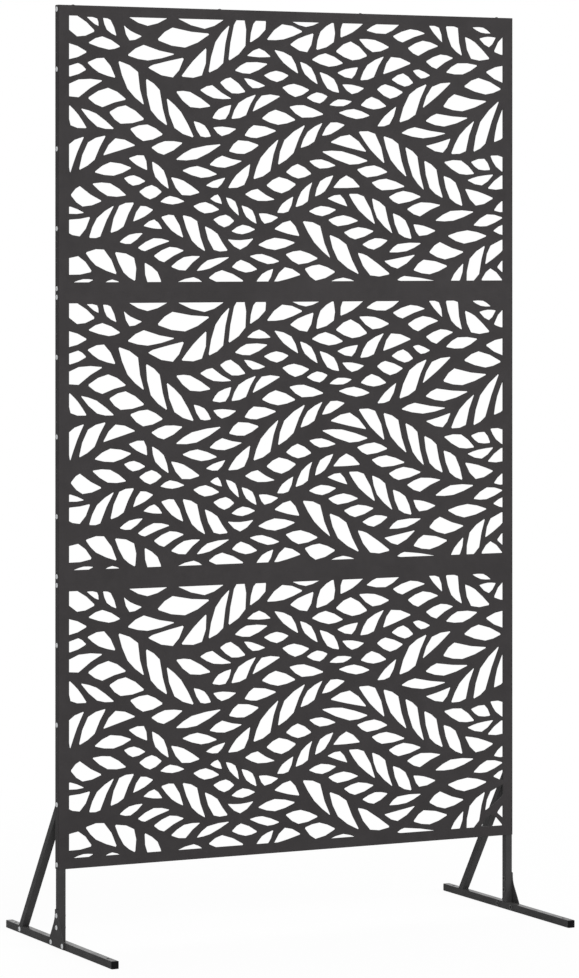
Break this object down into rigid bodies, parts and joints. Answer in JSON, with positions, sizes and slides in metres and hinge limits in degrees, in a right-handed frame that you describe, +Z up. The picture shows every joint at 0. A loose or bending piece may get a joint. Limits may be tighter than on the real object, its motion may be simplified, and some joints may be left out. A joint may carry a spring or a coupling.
{
  "type": "privacy screen",
  "caption": "Free-standing privacy screen of folded steel panels with leaf-shaped openings, bolted to square-tube posts with braced feet.",
  "frame": {"origin": "on the floor, midway between the posts and on their axis plane", "axes": "+Z up, +X along the screen to the right of a viewer in front, +Y to the braced back"},
  "size_m": [1.0966, 0.554, 1.966],
  "materials": {
    "panel_paint": "matt",
    "tube_paint": "matt",
    "black_plastic": "matt",
    "zinc": "satin",
    "dark_steel": "satin",
    "black_bolt": "satin"
  },
  "bodies": {
    "root": {"panel_top": "panel_paint", "panel_middle": "panel_paint", "panel_bottom": "panel_paint", "rail_top_upper": "tube_paint", "rail_top_lower": "tube_paint", "rail_middle_upper": "tube_paint", "rail_middle_lower": "tube_paint", "rail_bottom_upper": "tube_paint", "rail_bottom_lower": "tube_paint", "post_left_lower": "tube_paint", "post_left_upper": "tube_paint", "post_right_lower": "tube_paint", "post_right_upper": "tube_paint", "foot_left": "tube_paint", "foot_right": "tube_paint", "bracket_left": "tube_paint", "bracket_right": "tube_paint", "brace_left": "tube_paint", "brace_right": "tube_paint", "post_cap_left": "black_plastic", "post_cap_right": "black_plastic", "foot_cap_left_front": "black_plastic", "foot_cap_left_back": "black_plastic", "foot_cap_right_front": "black_plastic", "foot_cap_right_back": "black_plastic", "side_bolts_left": "zinc", "side_bolts_right": "zinc", "bracket_bolts_left": "zinc", "bracket_bolts_right": "zinc", "brace_bolts": "zinc", "rail_end_plugs": "dark_steel", "post_sleeve_left": "dark_steel", "post_sleeve_right": "dark_steel", "post_inserts_left": "dark_steel", "post_inserts_right": "dark_steel", "sleeve_inserts": "dark_steel", "bracket_inserts_left": "dark_steel", "bracket_inserts_right": "dark_steel", "rail_inserts": "dark_steel", "rail_bolts_top": "black_bolt", "rail_bolts_upper_joint": "black_bolt", "rail_bolts_lower_joint": "black_bolt"}
  },
  "joints": []
}
